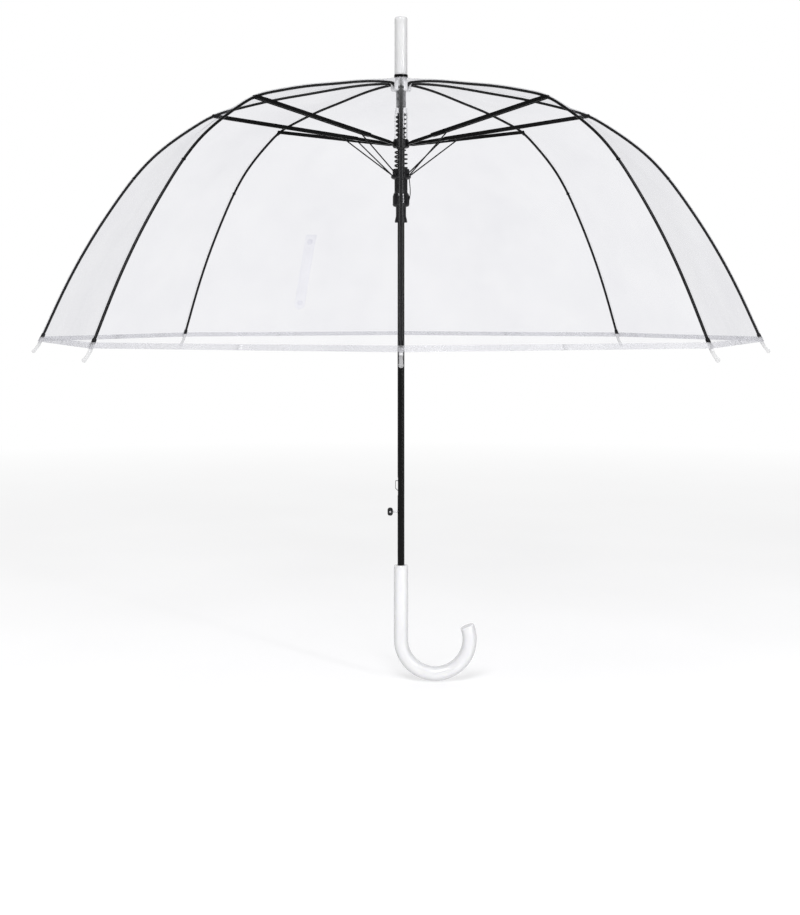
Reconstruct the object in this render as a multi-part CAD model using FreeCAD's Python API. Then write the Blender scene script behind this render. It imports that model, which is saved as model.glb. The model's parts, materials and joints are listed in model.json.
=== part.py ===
import FreeCAD, Part
import math
import os

# Clear bubble umbrella, open. Millimetres.
# Z runs up the shaft, the crook of the handle turns towards +X, the push button faces -X.
# The origin is the middle of the straight grip of the handle.
# The frame repeats about the shaft: one rib every 45 degrees, the first along +X.

V = FreeCAD.Vector
Y = V(0, 1, 0)
Z = V(0, 0, 1)

# --- driving dimensions ---
RIBS = 8
STEP = 360.0 / RIBS
HALF_STEP = math.radians(STEP / 2)

# handle: a round bar bent into a crook
GRIP_R = 8.75
GRIP_TOP = 45.5
CROOK_R = 42.0
CROOK_SWEEP = 202.8
SHAFT_DEPTH = 26.0          # how far the shaft goes into the handle

# shaft: painted steel tube, closed by the washer under the tip
SHAFT_R = 4.25
SHAFT_WALL = 0.8
SHAFT_TOP = 660.0
WASHER_R = 8.5
WASHER_Z = (642.4, 645.2)

# tip: hollow plastic tube with a domed end
TIP_TUBE_R = 8.0
TIP_TUBE_WALL = 1.8
TIP_TUBE_Z = (645.4, 716.2)

# crown: slotted notch, sleeve below it
NOTCH_R = 12.5
NOTCH_Z = (625.5, 636.6)
COLLAR_R = 7.2
COLLAR_TOP = 642.2
SLEEVE_R = 6.0
SLEEVE_Z = (606.0, 632.7)

# folding linkage in the plane of a rib, as (distance from the shaft axis, height)
RING_R = 8.5                # wire rings that the rib ends and stretcher ends turn on
CROWN_PIVOT = (RING_R, 630.0)
HUB_PIVOT = (RING_R, 560.0)
ELBOW = (229.0, 595.0)
RIB_LINE = [(16, 634.5), (30, 634), (60, 631), (110, 622.5), (150, 615.5), (200, 604),
            ELBOW, (254, 581), (304, 543.5), (350, 487.5), (373, 453), (396, 414),
            (416, 375), (434, 336), (440, 323)]
KNEE_X = 327.0              # where the lower rib rod starts

ROD_R = 1.6
RING_WIRE_R = 0.5
RING_HOLE_R = 0.6
PIN_R = 0.575
PIN_HOLE_R = 0.65
LEAF_R = 2.0                # round hinge leaves at the elbow
KNEE_R = 1.75               # round end of the middle rib rod, which the lower rod bends about
GAP = 0.3

# stretcher: folded steel channel with a flat inner end
CHANNEL_HALF = 2.5
CHANNEL_WALL = 0.6
CHANNEL_TOP = 2.4
CHANNEL_BOTTOM = -2.2
BAR_HALF = 0.9
BAR_LENGTH = 45.0
WEB_END = 13.5              # the web stops this far short of the elbow

# tie wire from the stretcher to the lower runner
TIE_AT = 67.0               # from the hub pivot, along the stretcher
TIE_SIDE = 3.6              # beside the stretcher
TIE_R = 0.8
TIE_FOOT = (11.5, 522.7)

# hub, spring cage, spring and lower runner
HUB_R = 10.2
HUB_BORE = 6.2
HUB_Z = (556.0, 566.5)
CAGE_CAP_Z = (597.8, 604.6)
CAGE_CAP_R = 7.6
CAGE_POST_AT = 8.0
SPRING_WIRE_R = 0.75
SPRING_R = 5.2
SPRING_Z = (530.5, 597.5)
SPRING_TURNS = 10.5
RUNNER_BORE = 4.55
RUNNER_TOP = 530.2
RUNNER_BOTTOM = 464.7
LEDGE_R = 12.2
WINDOW_Z = (487.0, 500.0)

# hold-down catch inside the shaft, and the push button that releases it
CATCH_Z = 143.7
BUTTON_Z = 110.7

# canopy film
FILM_OFF = 2.6              # from the middle of a rib rod to the inner face of the film
FILM_T = 0.4
HEM_T = 0.9
HEM_DEPTH = 7.0
FILM_INNER = (9.6, 637.4)
SEAM_GAP = 0.15

# rib tips
TIP_R = 2.0
TIP_LENGTH = 18.0

# closure strap
STRAP_WIDTH = 16.0
STRAP_LENGTH = 120.0


# --- helpers ---
def spin(shape, index):
    """A copy of a piece made for the rib along +X, turned to rib number index."""
    copy = shape.copy()
    copy.rotate(V(0, 0, 0), Z, STEP * index)
    return copy


def across(r, x, z, y0, y1):
    """A cylinder across the rib plane, from y0 to y1."""
    return Part.makeCylinder(r, y1 - y0, V(x, y0, z), Y)


def tube(r_out, r_in, z0, z1):
    outer = Part.makeCylinder(r_out, z1 - z0, V(0, 0, z0), Z)
    return outer.cut(Part.makeCylinder(r_in, z1 - z0 + 2, V(0, 0, z0 - 1), Z))


def turned(points):
    """A solid turned about the shaft axis from a closed outline of (radius, height)."""
    corners = [V(r, 0, z) for r, z in points]
    return Part.Face(Part.makePolygon(corners + corners[:1])).revolve(V(0, 0, 0), Z, 360)


def plate(points, y0, y1):
    """A flat plate in the rib plane with an outline of (distance, height)."""
    corners = [V(x, y0, z) for x, z in points]
    return Part.Face(Part.makePolygon(corners + corners[:1])).extrude(V(0, y1 - y0, 0))


def rod(edge, radius):
    """A round rod along an edge."""
    start = edge.valueAt(edge.FirstParameter)
    ring = Part.Wire(Part.makeCircle(radius, start, edge.tangentAt(edge.FirstParameter)))
    return Part.Wire(edge).makePipeShell([ring], True, False)


def fuse(first, *others):
    return first.multiFuse(list(others)).removeSplitter()


def cut(shape, *tools):
    for tool in tools:
        shape = shape.cut(tool)
    return shape


def save(name, *solids):
    shape = solids[0] if len(solids) == 1 else Part.makeCompound(list(solids))
    shape.exportStep("parts/%s.step" % name)


os.makedirs("parts", exist_ok=True)

# --- rib centreline, split at the elbow and the knee ---
rib_curve = Part.BSplineCurve()
rib_curve.interpolate([V(x, 0, z) for x, z in RIB_LINE])
u_end = rib_curve.LastParameter
u_elbow = rib_curve.parameter(V(ELBOW[0], 0, ELBOW[1]))
knee = rib_curve.toShape().common(
    Part.makeBox(0.001, 2, 1000, V(KNEE_X, -1, 0))).Vertexes[0].Point
u_knee = rib_curve.parameter(knee)
rib_end = rib_curve.value(u_end)
end_heading = V(*rib_curve.tangent(u_end)[0])

# --- upper rib: eyelet on the crown ring, flat strip, rod, centre leaf at the elbow ---
cx, cz = CROWN_PIVOT
strip = plate([(cx, cz - 1.4), (cx + 8.0, cz + 2.6), (cx + 9.0, cz + 3.2),
               (cx + 9.0, cz + 5.8), (cx + 7.0, cz + 5.8), (cx - 0.9, cz + 1.1)], -0.8, 0.8)
upper_rod = rod(rib_curve.toShape(0, u_elbow), ROD_R)
upper_rod = cut(upper_rod, across(LEAF_R + GAP, ELBOW[0], ELBOW[1], -3, 3))
leaf = fuse(across(LEAF_R, ELBOW[0], ELBOW[1], -0.5, 0.5),
            plate([(ELBOW[0] - 5.0, ELBOW[1] + 0.1), (ELBOW[0] - 0.3, ELBOW[1] - 1.5),
                   (ELBOW[0] + 0.3, ELBOW[1] + 1.5), (ELBOW[0] - 5.0, ELBOW[1] + 3.0)],
                  -0.5, 0.5))
upper_rib = fuse(across(1.5, cx, cz, -0.8, 0.8), strip, upper_rod, leaf)
upper_rib = cut(upper_rib, across(RING_HOLE_R, cx, cz, -3, 3),
                across(PIN_HOLE_R, ELBOW[0], ELBOW[1], -3, 3))

# --- middle rib: fork of two leaves at the elbow, rod, round end at the knee ---
middle_rod = rod(rib_curve.toShape(u_elbow, u_knee), ROD_R)
middle_rod = cut(middle_rod, across(LEAF_R + GAP, ELBOW[0], ELBOW[1], -3, 3))
cheeks = []
for y0 in (-1.6, 0.8):
    cheeks.append(across(LEAF_R, ELBOW[0], ELBOW[1], y0, y0 + 0.8))
    cheeks.append(plate([(ELBOW[0] - 0.6, ELBOW[1] - 1.5), (ELBOW[0] + 5.0, ELBOW[1] - 4.0),
                         (ELBOW[0] + 5.0, ELBOW[1] - 1.2), (ELBOW[0] + 0.6, ELBOW[1] + 1.5)],
                        y0, y0 + 0.8))
middle_rib = fuse(middle_rod, across(KNEE_R, knee.x, knee.z, -1.5, 1.5), *cheeks)
middle_rib = cut(middle_rib, across(PIN_HOLE_R, ELBOW[0], ELBOW[1], -3, 3))

# --- lower rib: hollow start round the knee, rod, plastic tip ---
lower_rod = rod(rib_curve.toShape(u_knee, u_end), ROD_R)
lower_rib = cut(lower_rod, across(KNEE_R + GAP, knee.x, knee.z, -3, 3))
socket_start = rib_end - end_heading * 6
tip_points = [rib_end - end_heading * 0.0, rib_end + end_heading * TIP_LENGTH * 0.5,
              rib_end + end_heading * TIP_LENGTH + V(2.2, 0, 0.6)]
tip_curve = Part.BSplineCurve()
tip_curve.interpolate(tip_points)
rib_tip = fuse(rod(tip_curve.toShape(), TIP_R),
               Part.makeCylinder(TIP_R + 0.3, 6.4, socket_start, end_heading),
               Part.makeSphere(TIP_R + 0.5, tip_points[-1]))
rib_tip = cut(rib_tip, Part.makeCylinder(ROD_R + 0.05, 6.05, socket_start - end_heading * 0.0,
                                         end_heading),
              Part.makeCylinder(ROD_R + 0.05, 2, socket_start - end_heading, end_heading))

# --- stretcher, drawn along +X from the hub pivot, then laid between its pivots ---
reach = math.hypot(ELBOW[0] - HUB_PIVOT[0], ELBOW[1] - HUB_PIVOT[1])
rise = math.degrees(math.atan2(ELBOW[1] - HUB_PIVOT[1], ELBOW[0] - HUB_PIVOT[0]))
outer_half, inner_half = CHANNEL_HALF, CHANNEL_HALF - CHANNEL_WALL
bar = plate([(0, -1.4), (8, -1.4), (12, -2.0), (BAR_LENGTH + 2, -2.0), (BAR_LENGTH + 2, 2.0),
             (12, 2.0), (8, 1.4), (0, 1.4)], -BAR_HALF, BAR_HALF)
neck = Part.makeBox(5, 2 * outer_half, CHANNEL_TOP - CHANNEL_BOTTOM,
                    V(BAR_LENGTH, -outer_half, CHANNEL_BOTTOM))
web = Part.makeBox(reach - WEB_END - BAR_LENGTH, 2 * outer_half, CHANNEL_WALL,
                   V(BAR_LENGTH, -outer_half, CHANNEL_TOP - CHANNEL_WALL))
walls, ears = [], []
for y0 in (-outer_half, inner_half):
    walls.append(plate([(BAR_LENGTH, CHANNEL_BOTTOM), (reach, CHANNEL_BOTTOM),
                        (reach, 2.2), (reach - WEB_END + 2, 2.2), (reach - WEB_END, CHANNEL_TOP),
                        (BAR_LENGTH, CHANNEL_TOP)], y0, y0 + CHANNEL_WALL))
    ears.append(across(2.2, reach, 0, y0, y0 + CHANNEL_WALL))
rivet = fuse(across(PIN_R, reach, 0, -3.0, 3.0), across(1.2, reach, 0, -3.0, -outer_half),
             across(1.2, reach, 0, outer_half, 3.0))
tie_pin = fuse(across(0.6, TIE_AT, 0, inner_half, 5.2), across(1.2, TIE_AT, 0, 4.7, 5.2))
stretcher = fuse(across(1.4, 0, 0, -BAR_HALF, BAR_HALF), bar, neck, web, rivet, tie_pin,
                 *(walls + ears))
stretcher = cut(stretcher, across(RING_HOLE_R, 0, 0, -3, 3))
stretcher.rotate(V(0, 0, 0), Y, -rise)
stretcher.translate(V(HUB_PIVOT[0], 0, HUB_PIVOT[1]))

# --- tie wire: loop on the stretcher's side pin, foot resting on the runner's ledge ---
tie_x = HUB_PIVOT[0] + TIE_AT * math.cos(math.radians(rise))
tie_z = HUB_PIVOT[1] + TIE_AT * math.sin(math.radians(rise))
foot = V(TIE_FOOT[0], TIE_SIDE, TIE_FOOT[1])
head = V(tie_x, TIE_SIDE, tie_z)
down = (foot - head).normalize()
bend = 1.6
bend_start, bend_end = foot - down * bend, foot - Y * bend
bend_middle = bend_start - Y * bend + (down + Y) * (bend / math.sqrt(2))
tie_path = Part.Wire([Part.makeLine(head + down * 1.2, bend_start),
                      Part.Arc(bend_start, bend_middle, bend_end).toShape(),
                      Part.makeLine(bend_end, foot - Y * 3.4)])
tie_rod = tie_path.makePipeShell([Part.Wire(Part.makeCircle(TIE_R, head + down * 1.2, down))],
                                 True, False)
tie_wire = fuse(tie_rod, across(1.7, tie_x, tie_z, TIE_SIDE - 0.7, TIE_SIDE + 0.7))
tie_wire = cut(tie_wire, across(0.68, tie_x, tie_z, 0, 8))

# --- canopy panel between two ribs: straight across, curved like the ribs from top to hem ---
def film_line(offset, scale):
    """The rib line moved outwards, and drawn in to the middle of the panel."""
    points = [V(FILM_INNER[0], 0, FILM_INNER[1] + offset - FILM_OFF)]
    for share in range(1, 25):
        u = u_end * share / 24
        way = V(*rib_curve.tangent(u)[0])
        place = rib_curve.value(u) + V(-way.z, 0, way.x) * offset
        points.append(V(place.x, 0, max(place.z, 0)))
    curve = Part.BSplineCurve()
    curve.interpolate([V(p.x * scale, 0, p.z) for p in points])
    return curve.toShape()


def sheet_section(inner, outer, scale):
    low, high = film_line(inner, scale), film_line(outer, scale)
    joins = [Part.makeLine(low.valueAt(low.LastParameter), high.valueAt(high.LastParameter)),
             Part.makeLine(high.valueAt(high.FirstParameter), low.valueAt(low.FirstParameter))]
    return Part.Face(Part.Wire(Part.__sortEdges__([low, joins[0], high, joins[1]])))


half_width = 260.0
panel = sheet_section(FILM_OFF, FILM_OFF + FILM_T, math.cos(HALF_STEP))
panel.translate(V(0, -half_width, 0))
panel = panel.extrude(V(0, 2 * half_width, 0))
hem = sheet_section(FILM_OFF, FILM_OFF + HEM_T, math.cos(HALF_STEP))
hem.translate(V(0, -half_width, 0))
hem = hem.extrude(V(0, 2 * half_width, 0))
hem = hem.common(Part.makeBox(900, 900, 200, V(-450, -450, rib_end.z + HEM_DEPTH - 200)))
panel = fuse(panel, hem)
apex = SEAM_GAP / math.sin(HALF_STEP)
side = 600.0
wedge = Part.Face(Part.makePolygon([
    V(apex, 0, 0), V(apex + side * math.cos(HALF_STEP), -side * math.sin(HALF_STEP), 0),
    V(apex + side * math.cos(HALF_STEP), side * math.sin(HALF_STEP), 0), V(apex, 0, 0)]))
panel = panel.common(wedge.extrude(V(0, 0, 700)))
panel.rotate(V(0, 0, 0), Z, STEP / 2)

# --- the eight of each ---
for i in range(RIBS):
    save("rib_%d_upper" % (i + 1), spin(upper_rib, i))
    save("rib_%d_mid" % (i + 1), spin(middle_rib, i))
    save("rib_%d_lower" % (i + 1), spin(lower_rib, i), spin(rib_tip, i))
    save("stretcher_%d" % (i + 1), spin(stretcher, i))
    save("tie_wire_%d" % (i + 1), spin(tie_wire, i))
    save("canopy_panel_%d" % (i + 1), spin(panel, i))

# --- crown notch: top plate, collar through the film, a slot for each rib, its ring wire ---
notch = turned([(SLEEVE_R + 0.1, NOTCH_Z[0]), (NOTCH_R - 1, NOTCH_Z[0]),
                (NOTCH_R, NOTCH_Z[0] + 1), (NOTCH_R, NOTCH_Z[1] - 0.8),
                (NOTCH_R - 0.8, NOTCH_Z[1]), (COLLAR_R, NOTCH_Z[1]), (COLLAR_R, COLLAR_TOP),
                (SHAFT_R + 0.1, COLLAR_TOP), (SHAFT_R + 0.1, SLEEVE_Z[1] + 0.1),
                (SLEEVE_R + 0.1, SLEEVE_Z[1] + 0.1)])
slot = Part.makeBox(12, 2.2, 12, V(RING_R - 1.7, -1.1, NOTCH_Z[1] - 1.0 - 12))
groove = Part.makeTorus(RING_R, RING_WIRE_R + 0.05, V(0, 0, cz), Z)
notch = cut(notch, groove, *[spin(slot, i) for i in range(RIBS)])
save("crown_notch", notch, Part.makeTorus(RING_R, RING_WIRE_R, V(0, 0, cz), Z))

# --- crown sleeve: plain tube with a crimped pin through it ---
sleeve = tube(SLEEVE_R, SHAFT_R + 0.1, *SLEEVE_Z)
for z in (SLEEVE_Z[0] + 7, SLEEVE_Z[0] + 16):
    dimple = Part.makeSphere(1.3, V(0, -SLEEVE_R - 0.6, z))
    sleeve = cut(sleeve, dimple, dimple.mirror(V(0, 0, 0), Y))
save("crown_sleeve", sleeve)

# --- hub: slotted ring for the stretcher ends, its ring wire ---
hub = turned([(HUB_BORE, HUB_Z[0]), (HUB_R - 1.2, HUB_Z[0]), (HUB_R, HUB_Z[0] + 1.2),
              (HUB_R, HUB_Z[1] - 3.5), (HUB_R - 1.4, HUB_Z[1]), (HUB_BORE, HUB_Z[1])])
hub_slot = Part.makeBox(12, 2.4, 20, V(RING_R - 1.7, -1.2, HUB_Z[0] + 1.6))
hub_groove = Part.makeTorus(RING_R, RING_WIRE_R + 0.05, V(0, 0, HUB_PIVOT[1]), Z)
hub = cut(hub, hub_groove, *[spin(hub_slot, i) for i in range(RIBS)])
save("hub", hub, Part.makeTorus(RING_R, RING_WIRE_R, V(0, 0, HUB_PIVOT[1]), Z))

# --- spring cage: cap round the shaft, carried on thin posts between the stretchers ---
cap = turned([(SHAFT_R + 0.3, CAGE_CAP_Z[0]), (CAGE_CAP_R + 1.0, CAGE_CAP_Z[0]),
              (CAGE_CAP_R + 1.0, CAGE_CAP_Z[0] + 1.4), (CAGE_CAP_R, CAGE_CAP_Z[0] + 1.4),
              (CAGE_CAP_R, CAGE_CAP_Z[1] - 0.8), (CAGE_CAP_R - 0.8, CAGE_CAP_Z[1]),
              (SHAFT_R + 0.3, CAGE_CAP_Z[1])])
posts = []
for i in range(0, RIBS, 2):
    post = Part.makeCylinder(0.7, CAGE_CAP_Z[0] - HUB_Z[1] + 1.0,
                             V(CAGE_POST_AT, 0, HUB_Z[1] + 0.05), Z)
    posts.append(spin(post, i + 0.5))
cap_slot = Part.makeBox(8, 6.2, 4, V(CAGE_CAP_R, -3.1, CAGE_CAP_Z[0] - 1))
cap = cut(cap, *[spin(cap_slot, i) for i in range(RIBS)])
save("spring_cage", fuse(cap, *posts))

# --- opening spring: round wire, flattened turn at each end ---
pitch = (SPRING_Z[1] - SPRING_Z[0] - 2 * SPRING_WIRE_R) / SPRING_TURNS
helix = Part.makeHelix(pitch, pitch * SPRING_TURNS, SPRING_R)
helix.translate(V(0, 0, SPRING_Z[0] + SPRING_WIRE_R))
coil_edge = helix.Edges[0]
start = coil_edge.valueAt(coil_edge.FirstParameter)
ring = Part.Wire(Part.makeCircle(SPRING_WIRE_R, start,
                                 coil_edge.tangentAt(coil_edge.FirstParameter)))
save("opening_spring", Part.Wire(helix.Edges).makePipeShell([ring], True, True))

# --- lower runner: collar and ledge for the tie wires, barrel, catch housing, flared skirt ---
ledge_z = TIE_FOOT[1] - TIE_R - GAP
runner = turned([
    (RUNNER_BORE, RUNNER_BOTTOM), (7.6, RUNNER_BOTTOM), (7.6, RUNNER_BOTTOM + 2),
    (6.25, RUNNER_BOTTOM + 8), (6.25, 483.5), (9.4, 484.5), (10.3, 486.5), (10.3, 496.5),
    (9.4, 499.5), (8.0, 501.5), (8.0, 517.0), (LEDGE_R - 1, 518.4), (LEDGE_R, 519.4),
    (LEDGE_R, ledge_z), (10.35, ledge_z), (10.35, RUNNER_TOP - 1), (9.4, RUNNER_TOP),
    (RUNNER_BORE, RUNNER_TOP)])
window = Part.makeBox(16, 4.6, WINDOW_Z[1] - WINDOW_Z[0], V(-16, -2.3, WINDOW_Z[0]))
lightening = Part.makeBox(3, 3.2, 9, V(8.9, -1.6, 488.0))
slits = [Part.makeBox(4, 1.4, 12, V(6.9, -0.7, 504.0))]
runner = cut(runner, window, *[spin(lightening, i + 0.5) for i in (0, 1, 6, 7)])
runner = cut(runner, *[spin(slits[0], i + 0.5) for i in range(RIBS)])
runner = cut(runner, *[spin(Part.makeBox(4, 1.6, 6, V(9.2, -0.8, 523.0)), i + 0.5)
                       for i in range(RIBS)])
save("lower_runner", runner)

# --- shaft: tube with a slot for the catch, a hole for the button and the washer on top ---
shaft = tube(SHAFT_R, SHAFT_R - SHAFT_WALL, GRIP_TOP - SHAFT_DEPTH, SHAFT_TOP)
washer = tube(WASHER_R, SHAFT_R - 0.4, *WASHER_Z)
shaft = fuse(shaft, washer)
shaft = cut(shaft, Part.makeBox(8, 3.6, 22, V(-8, -1.8, CATCH_Z - 13)),
            Part.makeCylinder(1.6, 8, V(-8, 0, BUTTON_Z), V(1, 0, 0)))
save("shaft", shaft)

# --- catch: bent spring strip inside the shaft, its nose out through the slot ---
catch = plate([(2.8, 60), (2.8, 75), (1.6, BUTTON_Z - 6), (1.6, BUTTON_Z + 6), (-2.4, CATCH_Z - 9),
               (-7.0, CATCH_Z - 4.4), (-7.0, CATCH_Z + 4.6), (-6.4, CATCH_Z + 5.2),
               (-2.2, CATCH_Z + 5.2), (-2.2, CATCH_Z + 4.6), (-6.4, CATCH_Z + 4.6),
               (-6.4, CATCH_Z - 4.2), (-1.8, CATCH_Z - 8.8), (2.2, BUTTON_Z + 6),
               (2.2, BUTTON_Z - 6), (3.4, 75), (3.4, 60)], -1.4, 1.4)
catch = catch.common(Part.makeCylinder(SHAFT_R - SHAFT_WALL - 0.02, 100, V(0, 0, 50), Z).fuse(
    Part.makeBox(10, 2.8, 30, V(-10, -1.4, CATCH_Z - 12))))
save("catch", catch)

# --- push button: cap with a rounded face, plunger into the shaft ---
button = Part.makeBox(6.5, 7.0, 10.0, V(-16.5, -3.5, BUTTON_Z - 5.0))
button = button.makeFillet(1.2, button.Edges)
plunger = Part.makeCylinder(1.5, 7.0, V(-10.8, 0, BUTTON_Z), V(1, 0, 0))
save("push_button", fuse(button, plunger))

# --- handle: straight grip and crook in one round bar, bored for the shaft ---
crook_centre = V(CROOK_R, 0, -GRIP_TOP)
sweep = math.radians(CROOK_SWEEP)


def crook_point(angle):
    return crook_centre + V(-math.cos(angle), 0, -math.sin(angle)) * CROOK_R


grip_line = Part.makeLine(V(0, 0, GRIP_TOP), V(0, 0, -GRIP_TOP))
crook_line = Part.Arc(crook_point(0), crook_point(sweep / 2), crook_point(sweep)).toShape()
profile = Part.Wire(Part.makeCircle(GRIP_R, V(0, 0, GRIP_TOP), Z))
handle = Part.Wire([grip_line, crook_line]).makePipeShell([profile], True, False)
round_edges = [e for e in handle.Edges if e.Length < 2 * math.pi * GRIP_R + 1 and
               isinstance(e.Curve, Part.Circle) and abs(e.Curve.Radius - GRIP_R) < 0.01 and
               (e.CenterOfMass.z > GRIP_TOP - 1 or
                (e.CenterOfMass - crook_point(sweep)).Length < 1)]
handle = handle.makeFillet(1.5, round_edges)
handle = cut(handle, Part.makeCylinder(SHAFT_R + 0.05, SHAFT_DEPTH + 1,
                                       V(0, 0, GRIP_TOP - SHAFT_DEPTH - 0.5), Z))
save("handle", handle)

# --- tip: tube with a domed closed end and a socket over the shaft ---
z0, z1 = TIP_TUBE_Z
inside = TIP_TUBE_R - TIP_TUBE_WALL
tip = turned([(SHAFT_R + 0.1, z0), (TIP_TUBE_R, z0), (TIP_TUBE_R, z1 - 2.5),
              (TIP_TUBE_R - 0.7, z1 - 0.7), (TIP_TUBE_R - 2.5, z1), (0, z1), (0, z1 - 2.4),
              (inside, z1 - 2.4), (inside, SHAFT_TOP + 3.0), (0, SHAFT_TOP + 3.0),
              (0, SHAFT_TOP + 0.3), (SHAFT_R + 0.1, SHAFT_TOP + 0.3)])
save("tip_tube", tip)

# --- closure strap: band joined to a back panel above the hem, hanging flat on the film ---
u_strap = u_end * 0.83
way = V(*rib_curve.tangent(u_strap)[0])
middle = rib_curve.value(u_strap) + V(-way.z, 0, way.x) * (FILM_OFF + FILM_T)
middle = V(middle.x * math.cos(HALF_STEP), 0, middle.z)
way = V(way.x * math.cos(HALF_STEP), 0, way.z).normalize()
band = Part.makeBox(STRAP_LENGTH, STRAP_WIDTH, 0.8, V(-STRAP_LENGTH / 2, -STRAP_WIDTH / 2, 0.5))
band = band.makeFillet(5.0, [e for e in band.Edges
                             if abs(e.tangentAt(e.FirstParameter).z) > 0.9 and
                             e.CenterOfMass.x > 0])
snap = Part.makeCylinder(5.2, 1.5, V(STRAP_LENGTH / 2 - 9, 0, 1.1), Z)
snap = snap.makeFillet(0.6, [e for e in snap.Edges if e.CenterOfMass.z > 2.5])
strap = fuse(band, snap)
strap.rotate(V(0, 0, 0), Y, math.degrees(math.atan2(-way.z, way.x)))
strap.translate(middle)
strap.rotate(V(0, 0, 0), Z, STEP * 2 + STEP / 2)
save("closure_strap", strap)
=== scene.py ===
import json
import math
import bpy
import numpy as np
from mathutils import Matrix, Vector


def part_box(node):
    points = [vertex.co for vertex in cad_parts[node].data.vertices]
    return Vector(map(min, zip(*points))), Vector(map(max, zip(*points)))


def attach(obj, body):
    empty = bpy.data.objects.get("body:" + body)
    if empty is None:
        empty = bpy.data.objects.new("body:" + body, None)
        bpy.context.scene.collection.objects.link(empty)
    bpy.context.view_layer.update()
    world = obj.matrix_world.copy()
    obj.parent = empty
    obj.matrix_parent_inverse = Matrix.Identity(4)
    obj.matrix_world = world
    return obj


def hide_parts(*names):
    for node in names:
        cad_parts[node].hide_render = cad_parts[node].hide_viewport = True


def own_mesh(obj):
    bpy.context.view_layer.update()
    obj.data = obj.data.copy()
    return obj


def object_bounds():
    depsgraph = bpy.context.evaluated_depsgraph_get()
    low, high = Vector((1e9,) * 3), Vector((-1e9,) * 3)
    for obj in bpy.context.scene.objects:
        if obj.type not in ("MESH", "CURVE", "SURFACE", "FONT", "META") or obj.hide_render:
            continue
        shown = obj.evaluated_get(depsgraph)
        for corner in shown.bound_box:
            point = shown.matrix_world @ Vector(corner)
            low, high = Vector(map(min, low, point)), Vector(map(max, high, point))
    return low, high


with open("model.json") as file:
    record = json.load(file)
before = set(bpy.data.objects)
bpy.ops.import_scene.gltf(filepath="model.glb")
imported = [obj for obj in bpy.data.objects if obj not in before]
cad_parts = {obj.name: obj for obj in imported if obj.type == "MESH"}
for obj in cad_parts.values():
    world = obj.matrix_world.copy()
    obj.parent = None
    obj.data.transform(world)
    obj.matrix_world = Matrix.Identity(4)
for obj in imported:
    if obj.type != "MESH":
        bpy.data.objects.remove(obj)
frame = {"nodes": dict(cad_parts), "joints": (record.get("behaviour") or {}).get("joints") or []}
cad_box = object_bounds()
MM = 0.001

# ---------------------------------------------------------------- sizes from the frame
RIBS = 8
STEP = 2 * math.pi / RIBS
HALF = STEP / 2
joint = {j["name"]: j for j in frame["joints"]}


def pivot(name):
    """A joint's place in the plane of rib 1: (distance from the shaft axis, height)."""
    x, _, z = joint[name]["pos_m"]
    return np.array([x, z])


CROWN, ELBOW, KNEE = pivot("rib_1_fold"), pivot("elbow_1"), pivot("rib_1_bend_lower")
# the rib's middle line in its own plane, in the same two measures
RIB_LINE = np.array([(16, 634.5), (30, 634), (60, 631), (110, 622.5), (150, 615.5), (200, 604),
                     (229, 595), (254, 581), (304, 543.5), (350, 487.5), (373, 453), (396, 414),
                     (416, 375), (434, 336), (440, 323)]) * MM
FILM_OFF = 2.6 * MM          # from the rib's middle line out to the film
HEM_DEPTH = 6.5 * MM
HEM_PAST = 5.5 * MM          # how far the hem hangs below the rib's end
SEAM_HALF = 3.0 * MM         # half the width of the weld along each rib
SEAM_LINE = 0.4 * MM
TIP_SOCKET = 6.5 * MM        # length of the tip's white socket


# ---------------------------------------------------------------- helpers
def smooth_line(points, count):
    """A natural cubic curve through points, as count points evenly spread by chord length."""
    p = np.asarray(points, float)
    t = np.concatenate([[0], np.cumsum(np.linalg.norm(np.diff(p, axis=0), axis=1))])
    n, h = len(p), np.diff(t)
    m = np.zeros((n, n))
    rhs = np.zeros((n, p.shape[1]))
    m[0, 0] = m[-1, -1] = 1
    for i in range(1, n - 1):
        m[i, i - 1], m[i, i], m[i, i + 1] = h[i - 1], 2 * (h[i - 1] + h[i]), h[i]
        rhs[i] = 6 * ((p[i + 1] - p[i]) / h[i] - (p[i] - p[i - 1]) / h[i - 1])
    k = np.linalg.solve(m, rhs)
    at = np.linspace(0, t[-1], count)
    j = np.clip(np.searchsorted(t, at, side="right") - 1, 0, n - 2)
    a, b = (t[j + 1] - at)[:, None], (at - t[j])[:, None]
    hj = h[j][:, None]
    return (k[j] * a ** 3 + k[j + 1] * b ** 3) / (6 * hj) + \
        (p[j] / hj - k[j] * hj / 6) * a + (p[j + 1] / hj - k[j + 1] * hj / 6) * b


def make_mesh(name, verts, faces, material):
    """A smooth-shaded piece from its vertices and faces."""
    me = bpy.data.meshes.new(name)
    me.from_pydata([tuple(v) for v in verts], [], faces)
    me.validate()
    me.update()
    me.polygons.foreach_set("use_smooth", [True] * len(me.polygons))
    me.materials.append(material)
    o = bpy.data.objects.new(name, me)
    bpy.context.scene.collection.objects.link(o)
    return o


def grid_faces(rows, cols, close=False):
    """Quads between rows of vertices. With close, the last column joins the first."""
    faces = []
    for i in range(rows - 1):
        for j in range(cols if close else cols - 1):
            k = (j + 1) % cols
            faces.append((i * cols + j, i * cols + k, (i + 1) * cols + k, (i + 1) * cols + j))
    return faces


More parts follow.
